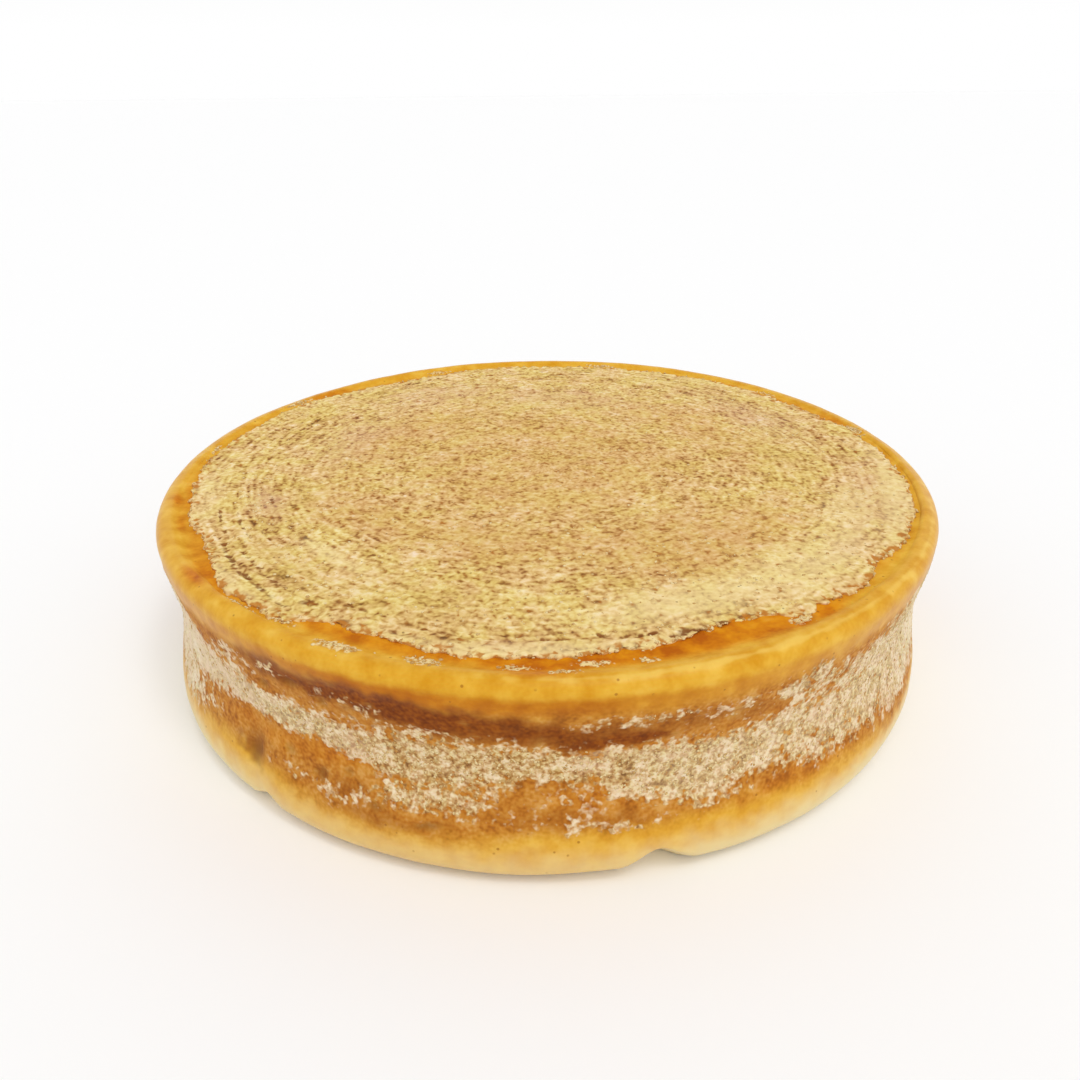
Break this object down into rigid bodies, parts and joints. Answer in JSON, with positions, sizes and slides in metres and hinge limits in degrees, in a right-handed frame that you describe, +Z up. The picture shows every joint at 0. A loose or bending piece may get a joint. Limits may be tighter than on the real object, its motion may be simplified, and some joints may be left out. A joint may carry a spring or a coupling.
{
  "type": "bitto cheese wheel",
  "caption": "Whole low round of aged mountain cheese with a hollowed heel between rounded lips and a dry speckled crust on its flat top.",
  "frame": {"origin": "middle of the flat underside, on the surface that the wheel rests on", "axes": "+Z up along the wheel's axis, -Y towards the front, which is the side with the chipped foot lip, +X to the right seen from the front"},
  "size_m": [0.4054, 0.4066, 0.0975],
  "materials": {
    "rind": "natural cheese rind: waxy yellow-orange lips, brown heel with a pale powdery bloom, dry beige crust with dark specks"
  },
  "bodies": {
    "root": {"wheel": "rind"}
  },
  "joints": []
}
